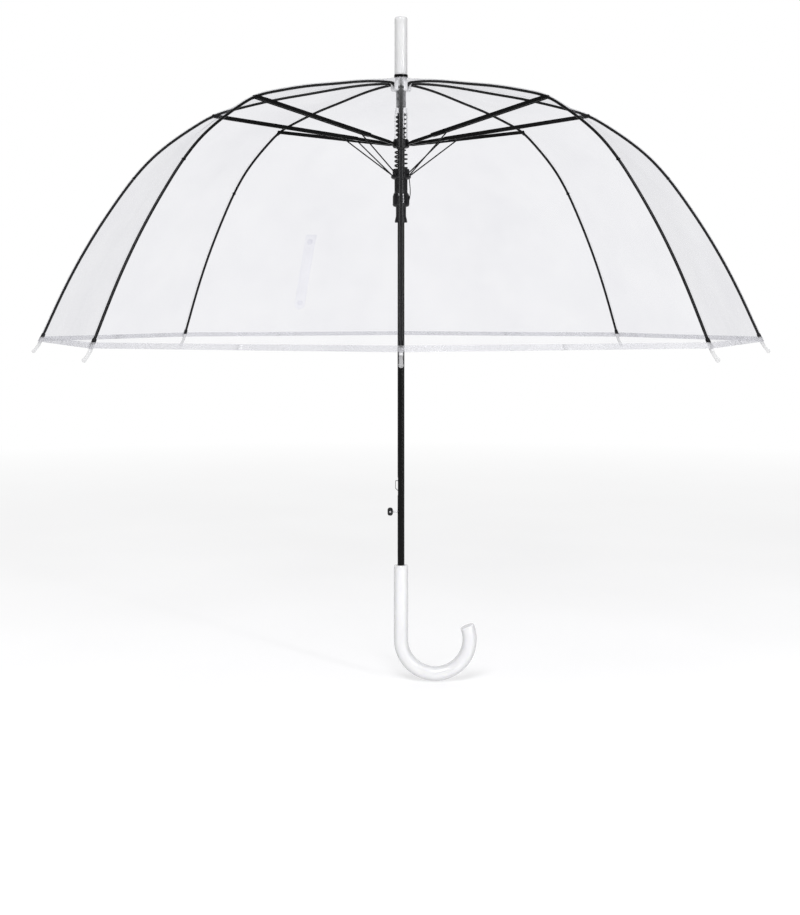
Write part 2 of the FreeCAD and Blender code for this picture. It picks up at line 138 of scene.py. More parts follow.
def closed_sheet(outer, inner):
    """Vertices and faces of a closed sheet between two grids of points, shaped (rows, cols, 3)."""
    rows, cols = outer.shape[:2]
    count = rows * cols
    verts = np.concatenate([outer.reshape(-1, 3), inner.reshape(-1, 3)])
    quads = grid_faces(rows, cols)
    faces = [f[::-1] for f in quads] + [tuple(i + count for i in f) for f in quads]
    rim = list(range(cols)) + [i * cols + cols - 1 for i in range(1, rows)] + \
        [(rows - 1) * cols + j for j in range(cols - 2, -1, -1)] + \
        [i * cols for i in range(rows - 2, 0, -1)]
    faces += [(a, b, b + count, a + count) for a, b in zip(rim, rim[1:] + rim[:1])]
    return verts, faces


def lathe(name, profile, material, segments=64):
    """A piece turned about the Z axis. The profile is a closed loop of (radius, height)."""
    rows = len(profile)
    verts = []
    for s in range(segments):
        a = 2 * math.pi * s / segments
        for r, z in profile:
            verts.append((r * math.cos(a), r * math.sin(a), z))
    faces = []
    for s in range(segments):
        n = (s + 1) % segments
        for i in range(rows):
            j = (i + 1) % rows
            faces.append((s * rows + i, n * rows + i, n * rows + j, s * rows + j))
    return make_mesh(name, verts, faces, material)


def tube(name, path, radius, material, sides):
    """A round tube along a path of points. radius may be one number or one for each point."""
    p = np.asarray(path, float)
    r = np.full(len(p), radius) if np.isscalar(radius) else np.asarray(radius, float)
    tangent = np.gradient(p, axis=0)
    tangent /= np.linalg.norm(tangent, axis=1)[:, None]
    first = np.cross(tangent[0], (0, 0, 1) if abs(tangent[0][2]) < 0.9 else (0, 1, 0))
    normal = first / np.linalg.norm(first)
    verts = []
    for i in range(len(p)):
        normal = normal - tangent[i] * (normal @ tangent[i])
        normal /= np.linalg.norm(normal)
        side = np.cross(tangent[i], normal)
        for s in range(sides):
            a = 2 * math.pi * s / sides
            verts.append(p[i] + r[i] * (math.cos(a) * normal + math.sin(a) * side))
    faces = grid_faces(len(p), sides, close=True)
    last = (len(p) - 1) * sides
    faces += [tuple(range(sides - 1, -1, -1)), tuple(range(last, last + sides))]
    return make_mesh(name, verts, faces, material)


def turned_about_z(points, angle):
    """Points turned by an angle about the shaft's axis."""
    c, s = math.cos(angle), math.sin(angle)
    q = np.array(points, float)
    return np.stack([q[:, 0] * c - q[:, 1] * s, q[:, 0] * s + q[:, 1] * c, q[:, 2]], axis=1)


# ---------------------------------------------------------------- materials
class Nodes:
    """A short way to write the nodes of a tree."""

    def __init__(self, tree):
        self.tree = tree

    def add(self, kind, **values):
        n = self.tree.nodes.new(kind)
        for key, v in values.items():
            setattr(n, key, v)
        return n

    def link(self, a, b):
        self.tree.links.new(a, b)

    def coords(self):
        return self.add("ShaderNodeTexCoord").outputs["Object"]

    def scaled(self, socket, scale):
        m = self.add("ShaderNodeMapping")
        m.inputs["Scale"].default_value = scale
        self.link(socket, m.inputs["Vector"])
        return m.outputs["Vector"]

    def noise(self, where, scale, detail=3.0, rough=0.5):
        n = self.add("ShaderNodeTexNoise")
        n.inputs["Scale"].default_value = scale
        n.inputs["Detail"].default_value = detail
        n.inputs["Roughness"].default_value = rough
        self.link(where, n.inputs["Vector"])
        return n.outputs["Fac"]

    def remap(self, value, low, high, to_low, to_high):
        m = self.add("ShaderNodeMapRange")
        for key, v in (("From Min", low), ("From Max", high), ("To Min", to_low), ("To Max", to_high)):
            m.inputs[key].default_value = v
        self.link(value, m.inputs["Value"])
        return m.outputs["Result"]

    def ramp(self, value, stops):
        r = self.add("ShaderNodeValToRGB")
        while len(r.color_ramp.elements) < len(stops):
            r.color_ramp.elements.new(0.5)
        for e, (at, colour) in zip(r.color_ramp.elements, stops):
            e.position, e.color = at, (*colour, 1)
        self.link(value, r.inputs["Fac"])
        return r.outputs["Color"]

    def bump(self, height, strength, distance):
        b = self.add("ShaderNodeBump")
        b.inputs["Strength"].default_value = strength
        b.inputs["Distance"].default_value = distance
        self.link(height, b.inputs["Height"])
        return b.outputs["Normal"]

    def math(self, operation, a, b):
        m = self.add("ShaderNodeMath", operation=operation)
        for s, v in zip(m.inputs, (a, b)):
            if isinstance(v, (int, float)):
                s.default_value = v
            else:
                self.link(v, s)
        return m.outputs[0]

    def mixed(self, factor, first, second, blend="MIX"):
        """Two colours mixed. Each of the three may be a socket or a value."""
        mix = self.add("ShaderNodeMix", data_type="RGBA", blend_type=blend)
        for socket, v in ((mix.inputs["Factor"], factor), (mix.inputs[6], first), (mix.inputs[7], second)):
            if isinstance(v, bpy.types.NodeSocket):
                self.link(v, socket)
            else:
                socket.default_value = v
        return mix.outputs[2]

    def shader(self, kind, colour=None, **values):
        """A shader node with its colour, as a socket or a value, and its other values set."""
        n = self.add(kind)
        if isinstance(colour, bpy.types.NodeSocket):
            self.link(colour, n.inputs["Color"])
        elif colour:
            n.inputs["Color"].default_value = colour
        for key, v in values.items():
            n.inputs[key].default_value = v
        return n

    def mixed_shaders(self, factor, first, second):
        mix = self.add("ShaderNodeMixShader")
        for socket, v in zip(mix.inputs, (factor, first.outputs[0], second.outputs[0])):
            self.link(v, socket)
        return mix


class Material(Nodes):
    """A new material whose nodes are written in the same short way."""

    def __init__(self, name):
        self.mat = bpy.data.materials.new(name)
        self.mat.use_nodes = True
        super().__init__(self.mat.node_tree)
        self.tree.nodes.clear()
        self.out = self.add("ShaderNodeOutputMaterial")

    def surface(self, shader):
        self.link(shader.outputs[0], self.out.inputs["Surface"])

    def principled(self, **values):
        p = self.add("ShaderNodeBsdfPrincipled")
        for key, v in values.items():
            socket = p.inputs[key.replace("_", " ")]
            if isinstance(v, bpy.types.NodeSocket):
                self.link(v, socket)
            else:
                socket.default_value = v
        self.surface(p)
        return p


def grey(level, blue=0.0):
    """A grey with a trace of blue."""
    return level, level, level + blue


def facing(m):
    """0 where the surface faces the eye, 1 where it is seen edge on."""
    weight = m.add("ShaderNodeLayerWeight")
    weight.inputs["Blend"].default_value = 0.5
    return weight.outputs["Facing"]


def black_steel(name="black_painted_steel", base=0.002, rough=0.17):
    """Thin black paint on wire and tube, with slightly worn spots."""
    m = Material(name)
    c = m.coords()
    speck = m.noise(c, 900, 4, 0.6)
    wear = m.noise(c, 60, 5, 0.65)
    colour = m.ramp(wear, [(0.0, (base, base, base * 1.05)), (0.62, (base * 1.3,) * 3),
                           (0.8, (base * 2.6, base * 2.6, base * 2.8))])
    m.principled(Base_Color=colour, Roughness=m.remap(wear, 0.3, 0.8, rough - 0.04, rough + 0.08),
                 Normal=m.bump(speck, 0.05, 0.00005), Specular_IOR_Level=0.12)
    return m.mat


def black_plastic():
    """Moulded black plastic with a fine grain."""
    m = Material("black_moulded_plastic")
    c = m.coords()
    grain = m.noise(c, 1400, 3, 0.6)
    blotch = m.noise(c, 90, 4, 0.6)
    colour = m.ramp(blotch, [(0.2, (0.003, 0.003, 0.004)), (0.8, (0.011, 0.011, 0.012))])
    m.principled(Base_Color=colour, Roughness=m.remap(blotch, 0.3, 0.7, 0.3, 0.48),
                 Normal=m.bump(grain, 0.15, 0.0002), Specular_IOR_Level=0.2)
    return m.mat


def nickel():
    """Plated metal, drawn lengthwise and speckled."""
    m = Material("nickel_plated_steel")
    c = m.coords()
    drawn = m.noise(m.scaled(c, (500, 500, 18)), 1.0, 4, 0.6)
    spots = m.noise(c, 300, 6, 0.7)
    colour = m.ramp(spots, [(0.36, (0.02, 0.02, 0.02)), (0.44, (0.30, 0.30, 0.305)),
                            (0.6, (0.48, 0.48, 0.49)), (0.75, (0.62, 0.62, 0.63))])
    m.principled(Base_Color=colour, Metallic=0.6, Roughness=m.remap(drawn, 0.3, 0.7, 0.3, 0.5),
                 Normal=m.bump(drawn, 0.15, 0.0003))
    return m.mat


def bright_plate():
    """The bright worn spring plate behind the runner's window."""
    m = Material("bright_latch_plate")
    c = m.coords()
    worn = m.noise(c, 420, 5, 0.65)
    colour = m.ramp(worn, [(0.32, (0.10, 0.10, 0.10)), (0.5, (0.45, 0.45, 0.46)), (0.7, (0.7, 0.7, 0.71))])
    m.principled(Base_Color=colour, Metallic=0.85, Roughness=m.remap(worn, 0.3, 0.7, 0.3, 0.5),
                 Normal=m.bump(worn, 0.2, 0.0002))
    return m.mat


def white_plastic():
    """Moulded white plastic, slightly cloudy."""
    m = Material("white_moulded_plastic")
    c = m.coords()
    cloud = m.noise(c, 140, 4, 0.55)
    fine = m.noise(c, 1500, 2, 0.5)
    colour = m.ramp(cloud, [(0.25, (0.74, 0.74, 0.75)), (0.75, (0.86, 0.86, 0.87))])
    m.principled(Base_Color=colour, Roughness=m.remap(cloud, 0.3, 0.7, 0.25, 0.42),
                 Normal=m.bump(fine, 0.1, 0.0002), Subsurface_Weight=0.25,
                 Subsurface_Radius=(0.002, 0.002, 0.002), Subsurface_Scale=1.0)
    return m.mat


def milky_plastic(name, low, high, weight):
    """Milky see-through moulded plastic: soft inside, glossy outside, with painted shade that greys its
    colour where it is seen edge on.
    """
    m = Material(name)
    c = m.coords()
    cloud = m.noise(m.scaled(c, (1, 1, 0.35)), 45, 4, 0.55)
    flow = m.noise(m.scaled(c, (1, 1, 0.2)), 160, 3, 0.5)
    colour = m.ramp(cloud, [(0.25, low), (0.75, high)])
    # painted shade: the colour turns to mid grey where the surface is seen edge on, darkening the sides
    edge_shaded_colour = m.mixed(m.remap(facing(m), 0.1, 0.9, 0.0, 1.0), colour, (*grey(0.5, 0.01), 1))
    m.principled(Base_Color=edge_shaded_colour, Roughness=m.remap(flow, 0.3, 0.7, 0.12, 0.24),
                 Normal=m.bump(flow, 0.08, 0.0006), Subsurface_Weight=weight,
                 Subsurface_Radius=(0.006, 0.006, 0.0065), Subsurface_Scale=1.0,
                 Coat_Weight=0.5, Coat_Roughness=0.05)
    return m.mat


def seam_haze(m):
    """Haze of the weld along each rib, with a brighter line at each of its edges."""
    split = m.add("ShaderNodeSeparateXYZ")
    m.link(m.add("ShaderNodeTexCoord").outputs["UV"], split.inputs[0])
    across = m.math("ABSOLUTE", split.outputs["X"], 0.0)
    edge = m.math("COMPARE", across, SEAM_HALF)
    edge.node.inputs[2].default_value = SEAM_LINE
    return m.remap(across, SEAM_HALF, SEAM_HALF * 1.15, 0.07, 0.0), m.remap(edge, 0.0, 1.0, 0.0, 0.16)


def clear_film(name="clear_vinyl_film", tint=0.955, milk_low=0.002, milk_high=0.012, seamed=True,
               milk_grey=0.9):
    """Clear vinyl: tinted see-through, a trace of haze and wavy soft gloss."""
    m = Material(name)
    c = m.coords()
    cloud = m.noise(c, 12, 5, 0.62)
    streak = m.noise(m.scaled(c, (30, 30, 4)), 1.0, 5, 0.6)
    ripple = m.noise(m.scaled(c, (22, 22, 9)), 1.0, 3, 0.5)
    grazing = m.math("POWER", facing(m), 4.0)
    haze = m.math("ADD", m.remap(grazing, 0.0, 1.0, 0.0, 0.05),
                  m.remap(cloud, 0.35, 0.75, milk_low, milk_high))
    haze = m.math("ADD", haze, m.remap(streak, 0.5, 0.8, 0.0, milk_high))
    for more in seam_haze(m) if seamed else ():
        haze = m.math("ADD", haze, more)
    clear = m.shader("ShaderNodeBsdfTransparent",
                     m.ramp(cloud, [(0.3, grey(tint - 0.02, 0.015)), (0.7, grey(tint + 0.02, 0.01))]))
    milk = m.shader("ShaderNodeBsdfDiffuse", (*grey(milk_grey, 0.015), 1))
    gloss = m.shader("ShaderNodeBsdfGlossy", (*grey(0.9, 0.04), 1), Roughness=0.14)
    m.link(m.bump(ripple, 0.3, 0.003), gloss.inputs["Normal"])
    body = m.mixed_shaders(haze, clear, milk)
    m.surface(m.mixed_shaders(m.remap(grazing, 0.0, 1.0, 0.016, 0.12), body, gloss))
    return m.mat


def rib_and_tip(rod_end, socket_end):
    """One CAD node: a black rod above rod_end, a white socket below it, then a milky clear tail."""
    m = Material("rib_rod_and_tip")
    c = m.coords()
    part = m.add("ShaderNodeSeparateXYZ")
    m.link(c, part.inputs[0])
    height = part.outputs["Z"]
    wear = m.noise(c, 60, 5, 0.65)
    rod = m.ramp(wear, [(0.0, grey(0.002)), (0.8, grey(0.006, 0.001))])
    tip = m.ramp(wear, [(0.2, grey(0.60, 0.01)), (0.8, grey(0.70, 0.01))])
    solid = m.principled(Base_Color=m.mixed(m.math("LESS_THAN", height, rod_end), rod, tip),
                         Roughness=m.remap(wear, 0.3, 0.8, 0.24, 0.42),
                         Normal=m.bump(m.noise(c, 900, 3), 0.05, 0.0001), Specular_IOR_Level=0.15)
    clear = m.shader("ShaderNodeBsdfTransparent")
    clearness = m.remap(height, socket_end - 0.6 * MM, socket_end, 0.6, 0.0)
    m.surface(m.mixed_shaders(clearness, solid, clear))
    return m.mat


STEEL = black_steel()
SPRING = black_steel("blackened_spring_wire", 0.016, 0.36)
PLASTIC = black_plastic()
NICKEL = nickel()
LATCH = bright_plate()
WHITE = white_plastic()
HANDLE = milky_plastic("milky_handle_plastic", (0.84, 0.84, 0.85), (0.90, 0.90, 0.905), 0.6)
TUBE = milky_plastic("milky_tip_plastic", (0.70, 0.70, 0.71), (0.79, 0.79, 0.795), 0.4)
FILM = clear_film()
HEM = clear_film("folded_vinyl_hem", 0.93, 0.22, 0.32, seamed=False, milk_grey=0.74)
SNAP = clear_film("clear_snap_plastic", 0.97, 0.005, 0.03, seamed=False)
STRAP = clear_film("vinyl_strap", 0.98, 0.0, 0.005, seamed=False)


def paint(node, material):
    """Give a CAD node's object its material."""
    o = frame["nodes"][node]
    o.data.materials.clear()
    o.data.materials.append(material)


RIB_END = RIB_LINE[-1][1]
RIB_TIP = rib_and_tip(RIB_END, RIB_END - TIP_SOCKET)
for k in range(1, RIBS + 1):
    for node in ("rib_%d_upper", "rib_%d_mid", "stretcher_%d", "tie_wire_%d"):
        paint(node % k, STEEL)
    paint("rib_%d_lower" % k, RIB_TIP)
for node, material in (("shaft", STEEL), ("crown_notch", WHITE), ("crown_sleeve", NICKEL),
                       ("hub", PLASTIC), ("spring_cage", WHITE),
                       ("lower_runner", PLASTIC), ("catch", STEEL)):
    paint(node, material)

# ---------------------------------------------------------------- canopy film
CROWN_EDGE = np.array([(9.6, 637.5), (13, 637.35)]) * MM       # where the film starts, at the notch
SAG = 4.2 * MM                # how far the film sags in between two ribs
WAVE = 0.9 * MM               # loose ripples all over it
PLEAT = 0.8 * MM              # small folds that fan out from the crown
HEM_RIPPLE = 0.5 * MM
PULL_IN, PULL_DOWN = 0.72, 0.5                                  # shares of the sag, in and down
COLS = 26                     # points from a rib to the middle of a panel

rib = smooth_line(RIB_LINE, 400)
rib_way = np.gradient(rib, axis=0)
rib_way /= np.linalg.norm(rib_way, axis=1)[:, None]
outward = np.stack([-rib_way[:, 1], rib_way[:, 0]], axis=1)
film_line = rib + outward * FILM_OFF
past_end = film_line[-1] + rib_way[-1] * HEM_PAST * np.linspace(0.25, 1, 4)[:, None]
film_line = np.concatenate([CROWN_EDGE, film_line[1:], past_end])
arc = np.concatenate([[0], np.cumsum(np.linalg.norm(np.diff(film_line, axis=0), axis=1))])


def arc_at(radius):
    """Length along the film's line from the crown to a distance from the shaft axis."""
    return float(np.interp(radius, film_line[:, 0], arc))


def line_at(s):
    """Points of the film's line at lengths s along it."""
    return np.stack([np.interp(s, arc, film_line[:, i]) for i in (0, 1)], axis=-1)


# the film is parted just past the elbow and the knee: (band, first length, last length)
ELBOW_PART, KNEE_PART = arc_at(ELBOW[0] + 0.8 * MM), arc_at(KNEE[0] + 2 * MM)
BANDS = (("upper", 0.0, ELBOW_PART), ("mid", ELBOW_PART, KNEE_PART), ("lower", KNEE_PART, arc[-1]))
CHORDS = {"upper": (CROWN, ELBOW), "mid": (ELBOW, KNEE), "lower": (KNEE, rib[-1])}
PATCH_ROWS = {"upper": 44, "mid": 28, "lower": 48}


def film_point(s, share, side, panel):
    """Points of the film in the frame of the rib along +X, for arrays of arc lengths and shares.
    share runs from 0 at the rib to 1 at the middle of the panel."""
    along = np.clip(s / arc[-1], 0, 1)
    line = line_at(s)
    r, z = line[..., 0], line[..., 1]
    t = r * math.sin(HALF) * share
    q = share if side > 0 else 2 - share                       # 0..2 from one rib to the next
    bulge = np.sin(math.pi * q / 2)
    fade = np.sin(math.pi * along) ** 0.8
    sag = SAG * fade * bulge ** 2
    wave = WAVE * bulge * fade * (1.6 + np.sin(23 * along + 3.1 * q + 1.7 * panel)
                                  + 0.6 * np.sin(41 * along - 5.3 * q + 2.9 * panel))
    pleat = PLEAT * bulge * np.exp(-along * 9) * np.sin(math.pi * 4 * q) * np.clip(along * 30, 0, 1)
    near_hem = HEM_RIPPLE * bulge * np.exp(-(1 - along) * 22) * np.sin(math.pi * 7 * q + panel) \
        * np.clip((1 - along) * 40 - 0.4, 0, 1)
    pull = sag + wave + pleat + near_hem
    return np.stack([r - t * math.sin(HALF) - pull * PULL_IN * math.cos(HALF),
                     side * (t * math.cos(HALF) - pull * PULL_IN * math.sin(HALF)),
                     z - pull * PULL_DOWN], axis=-1)


def film_grid(s_values, side, k):
    """Points and outward normals of a patch of film beside rib k, shaped (rows, COLS, 3)."""
    panel = k if side > 0 else (k - 1) % RIBS
    s, share = np.meshgrid(s_values, np.linspace(0, 1, COLS), indexing="ij")
    ds, dq = 0.1 * MM, 0.002
    down = film_point(s + ds, share, side, panel) - film_point(s - ds, share, side, panel)
    inside = np.clip(share, dq, 1 - dq)
    across = film_point(s, inside + dq, side, panel) - film_point(s, inside - dq, side, panel)
    n = np.cross(across, down) * side
    n /= np.linalg.norm(n, axis=-1)[..., None] + 1e-12
    return film_point(s, share, side, panel), n


def facing_out(faces, side):
    """The faces of a piece beside a rib, turned so that their normals point out on both sides."""
    return [f[::-1] for f in faces] if side > 0 else faces


def patch(name, s_values, side, k):
    """One patch of film between the rib and the middle of the panel beside it."""
    p, n = film_grid(s_values, side, k)
    faces = facing_out(grid_faces(len(s_values), COLS), side)
    o = make_mesh(name, turned_about_z(p.reshape(-1, 3), STEP * k), faces, FILM)
    normals = turned_about_z(n.reshape(-1, 3), STEP * k)
    o.data.normals_split_custom_set_from_vertices([tuple(v) for v in normals])
    # the map's first coordinate is the distance from the rib, in metres, for the weld
    half_width = side * line_at(s_values)[:, 0] * math.sin(HALF)
    uv = o.data.uv_layers.new(name="UVMap")
    for loop in o.data.loops:
        i, j = divmod(loop.vertex_index, COLS)
        uv.data[loop.index].uv = (half_width[i] * j / (COLS - 1), s_values[i])
    return o


def hem(name, side, k):
    """The film's edge folded over and welded: a band with rounded edges, thicker at the bottom bead."""
    rows = 15
    p, n = film_grid(np.linspace(arc[-1] - HEM_DEPTH, arc[-1], rows), side, k)
    u = np.linspace(0, 1, rows)
    band = 0.30 * MM * np.sqrt(np.clip(1 - (2 * u - 1) ** 8, 0.03, 1))
    bottom_bead = 0.22 * MM * np.exp(-((u - 0.9) / 0.07) ** 2)
    weld_line = 0.12 * MM * np.exp(-((u - 0.1) / 0.05) ** 2)
    half = (band + bottom_bead + weld_line)[:, None, None]
    rings = np.concatenate([p + n * half, (p - n * half)[::-1]], axis=0).transpose(1, 0, 2)
    ring = 2 * rows
    last = (COLS - 1) * ring
    faces = grid_faces(COLS, ring, close=True)
    faces += [tuple(range(ring)), tuple(range(last + ring - 1, last - 1, -1))]
    return make_mesh(name, turned_about_z(rings.reshape(-1, 3), STEP * k), facing_out(faces, side), HEM)


def squash_axis(band, side):
    """Across the rib: along the panel where it meets the rib, square to the rib's own chord."""
    start, end = CHORDS[band]
    c = (end - start) / np.linalg.norm(end - start)
    chord = np.array([c[0], 0, c[1]])
    panel = np.array([-math.sin(HALF), side * math.cos(HALF), 0])
    panel -= chord * (panel @ chord)
    return panel / np.linalg.norm(panel)


def fold_in(o, k, side, band):
    """The piece rides on its rib with a mesh of its own; the axis across the rib is worked out but not
    used.
    """
    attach(o, "rib_%d_%s" % (k + 1, band))
    axis = turned_about_z([squash_axis(band, side)], STEP * k)[0]
    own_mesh(o)


def half_panel(k, side, letter):
    """The film on one side of rib k, in three patches, with its hem."""
    for band, s0, s1 in BANDS:
        o = patch("film_%d%s_%s" % (k + 1, letter, band), np.linspace(s0, s1, PATCH_ROWS[band]), side, k)
        fold_in(o, k, side, band)
        if side > 0 and band == "upper":
            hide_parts("canopy_panel_%d" % (k + 1))
        if band == "lower":
            edge = hem("hem_%d%s" % (k + 1, letter), side, k)
            fold_in(edge, k, side, band)


for k in range(RIBS):
    half_panel(k, 1, "a")
    half_panel(k, -1, "b")

# ---------------------------------------------------------------- handle
CROOK_R = 42 * MM
CROOK_SWEEP = math.radians(202.8)
# the bar's rounded ends: (distance from the end, how much smaller the radius is)
TOP_END = np.array([(0.0, 1.6), (0.2, 0.8), (0.7, 0.3), (1.5, 0.05), (3.0, 0.0)]) * MM
LOW_END = np.array([(3.0, 0.0), (1.4, 0.05), (0.6, 0.2), (0.2, 0.6), (0.0, 1.3)]) * MM


def towards(start, other, distances):
    """Points on the line from start towards other, at the given distances."""
    return start + (other - start) / np.linalg.norm(other - start) * distances[:, None]


def make_handle():
    """Round bar: straight grip and crook."""
    low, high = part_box("handle")
    grip_r = (high.y - low.y) / 2
    crook_z = low.z + grip_r + CROOK_R
    grip = [(0, 0, z) for z in np.linspace(high.z, crook_z, 24)[:-1]]
    crook = [(CROOK_R - CROOK_R * math.cos(a), 0, crook_z - CROOK_R * math.sin(a))
             for a in np.linspace(0, CROOK_SWEEP, 72)]
    path = np.array(grip + crook)
    path = np.concatenate([towards(path[0], path[1], TOP_END[:, 0]), path[2:-2],
                           towards(path[-1], path[-2], LOW_END[:, 0])])
    radii = np.full(len(path), grip_r)
    radii[:len(TOP_END)] -= TOP_END[:, 1]
    radii[-len(LOW_END):] -= LOW_END[:, 1]
    handle = tube("handle_body", path, radii, HANDLE, sides=64)
    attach(handle, "shaft")
    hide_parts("handle")


make_handle()

# ---------------------------------------------------------------- tip tube
TIP_WALL = 1.8 * MM
TIP_TOP = 2.4 * MM            # thickness of the closed top
TIP_FOOT = 2.8 * MM           # thickness of the solid foot above the shaft's end
TIP_ROUND = 2.5 * MM          # radius of the rounded top edge
TIP_EDGE = 0.4 * MM           # bevel of the lower edge
TIP_CORNER = 0.8 * MM         # bevel of the corners inside
TIP_BORE_R = 4.4 * MM         # of the hole that the shaft's end sits in
TIP_SEAT_GAP = 0.3 * MM
ON_AXIS = 0.1 * MM            # radius of the tiny hole that a turned profile leaves on its axis


def make_tip_tube():
    """Hollow tube with a closed top, on a solid foot over the shaft's end."""
    low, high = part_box("tip_tube")
    outer = (high.x - low.x) / 2
    inner = outer - TIP_WALL
    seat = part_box("shaft")[1].z + TIP_SEAT_GAP
    foot = seat + TIP_FOOT
    ceiling = high.z - TIP_TOP
    profile = [(TIP_BORE_R, low.z), (outer - TIP_EDGE, low.z), (outer, low.z + TIP_EDGE)]
    profile += [(outer, z) for z in np.linspace(low.z + 4 * MM, high.z - 3 * MM, 14)]
    profile += [(outer - TIP_ROUND + TIP_ROUND * math.cos(a), high.z - TIP_ROUND + TIP_ROUND * math.sin(a))
                for a in np.linspace(0.15, math.pi / 2, 7)]
    profile += [(ON_AXIS, high.z), (ON_AXIS, ceiling), (inner - TIP_CORNER, ceiling),
                (inner, ceiling - 1 * MM)]
    profile += [(inner, z) for z in np.linspace(high.z - 6 * MM, seat + 4 * MM, 10)]
    profile += [(inner - TIP_CORNER, foot), (ON_AXIS, foot), (ON_AXIS, seat), (TIP_BORE_R, seat)]
    tip = lathe("tip_tube_body", profile, TUBE)
    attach(tip, "shaft")
    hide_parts("tip_tube")


make_tip_tube()

# ---------------------------------------------------------------- closure strap
# It lies on the outside of a panel, straight down the middle.
STRAP_RIB = 2                 # the rib before the strap's panel, counted from 0
STRAP_HALF = 8 * MM
STRAP_THICK = 0.35 * MM
STRAP_GAP = 0.35 * MM
STRAP_ROWS, STRAP_COLS = 60, 17
STRAP_STRAIGHT = 0.94         # share of the length above the rounded lower end
SNAP_R, SNAP_H = 4.2 * MM, 1.6 * MM
SNAP_LIFT = 1 * MM            # from the film to the snap's base
SNAP_SIDES = 40
# a domed snap with a groove: (share of its radius, share of its height)
SNAP_PROFILE = [(0.05, 0.0), (1.0, 0.0), (1.02, 0.25), (0.9, 0.5), (0.74, 0.56), (0.66, 0.4),
                (0.56, 0.4), (0.45, 0.62), (0.2, 0.72), (0.05, 0.73)]


def panel_middle(s):
    """Points on the middle line of the strap's panel, in the frame of the rib along +X."""
    return film_point(s, np.ones_like(s), 1, STRAP_RIB)


def strap_ends():
    """Arc lengths of the strap's upper and lower ends, from the heights of its box."""
    low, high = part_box("closure_strap")
    s = np.linspace(0, arc[-1], 2000)
    heights = panel_middle(s)[:, 2]
    return [float(np.interp(-z, -heights, s)) for z in (high.z, low.z)]


def strap_grid(s, u):
    """The strap's points on the film, by length and by share of its half width, and the normals."""
    middle = panel_middle(s)
    out = np.array([math.cos(HALF), math.sin(HALF), 0])
    across = np.array([-math.sin(HALF), math.cos(HALF), 0])
    down = np.gradient(middle, axis=0)
    down /= np.linalg.norm(down, axis=1)[:, None]
    normal = np.cross(down, across)
    normal *= np.sign(normal @ out)[:, None]
    end = np.clip((np.linspace(0, 1, len(s)) - STRAP_STRAIGHT) / (1 - STRAP_STRAIGHT), 0, 1)
    width = STRAP_HALF * np.sqrt(np.clip(1 - end ** 2 * 0.98, 0, 1))
    return middle[:, None, :] + across * (width[:, None] * u)[..., None], normal


def make_strap():
    """A thin welded band with a bead along each edge. Returns its points and normals."""
    top_s, end_s = strap_ends()
    u = np.linspace(-1, 1, STRAP_COLS)
    grid, normal = strap_grid(np.linspace(top_s, end_s, STRAP_ROWS), u)
    bead = 0.16 * MM * np.exp(-((np.abs(u) - 0.86) / 0.07) ** 2)
    ripple = 0.3 * MM * np.sin(np.linspace(0, 9, STRAP_ROWS)) ** 2
    lift = STRAP_GAP + bead[None, :] + ripple[:, None]
    outer = grid + normal[:, None, :] * (lift + STRAP_THICK)[..., None]
    inner = grid + normal[:, None, :] * lift[..., None]
    verts, faces = closed_sheet(outer, inner)
    strap = make_mesh("strap_band", turned_about_z(verts, STEP * STRAP_RIB), faces, STRAP)
    fold_in(strap, STRAP_RIB, 1, "lower")
    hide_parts("closure_strap")
    return grid, normal


def make_snap(name, row):
    """A snap fastener set on one row of the strap, turned about the film's outward direction."""
    out = strap_normal[row]
    centre = strap_points[row, STRAP_COLS // 2] + out * SNAP_LIFT
    one = np.cross(out, (0, 0, 1))
    one /= np.linalg.norm(one)
    two = np.cross(out, one)
    angles = [2 * math.pi * i / SNAP_SIDES for i in range(SNAP_SIDES)]
    verts = [centre + SNAP_R * r * (math.cos(a) * one + math.sin(a) * two) + out * h * SNAP_H
             for r, h in SNAP_PROFILE for a in angles]
    last = (len(SNAP_PROFILE) - 1) * SNAP_SIDES
    faces = grid_faces(len(SNAP_PROFILE), SNAP_SIDES, close=True)
    faces += [tuple(range(SNAP_SIDES - 1, -1, -1)), tuple(range(last, last + SNAP_SIDES))]
    snap = make_mesh(name, turned_about_z(verts, STEP * STRAP_RIB), faces, SNAP)
    fold_in(snap, STRAP_RIB, 1, "lower")


strap_points, strap_normal = make_strap()
make_snap("strap_snap_low", 54)
make_snap("strap_snap_high", 6)

# ---------------------------------------------------------------- opening spring
SPRING_TURNS = 12
TURN_POINTS = 28
WIRE_R, END_WIRE_R = 0.85 * MM, 1.1 * MM                        # inside the hub, and past it
COIL_R, WIDER_BELOW, WIDER_ABOVE = 5.2 * MM, 2.0 * MM, 0.3 * MM
# where the coil starts to widen past the hub's ends, and over what height
BELOW_START, BELOW_RUN = 1.5 * MM, 5 * MM
ABOVE_START, ABOVE_RUN = 0.5 * MM, 4 * MM


def ease(t):
    """0 below 0 and 1 above 1, smooth between them."""
    t = np.clip(t, 0, 1)
    return t * t * (3 - 2 * t)


def make_spring():
    """A coil that is narrow in the hub's bore and widens under it."""
    low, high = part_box("opening_spring")
    hub_low, hub_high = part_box("hub")
    along = np.linspace(0, 1, SPRING_TURNS * TURN_POINTS)
    z = low.z + END_WIRE_R + (high.z - low.z - 2 * END_WIRE_R) * along
    below = ease((hub_low.z - BELOW_START - z) / BELOW_RUN)
    above = ease((z - hub_high.z - ABOVE_START) / ABOVE_RUN)
    r = COIL_R + WIDER_BELOW * below + WIDER_ABOVE * above
    wire = WIRE_R + (END_WIRE_R - WIRE_R) * np.maximum(below, above)
    turn = 2 * math.pi * SPRING_TURNS * along
    path = np.stack([r * np.cos(turn), r * np.sin(turn), z], axis=1)
    coil = tube("spring_coil", path, wire, SPRING, sides=12)
    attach(coil, "hub")
    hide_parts("opening_spring")
    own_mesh(coil)


make_spring()

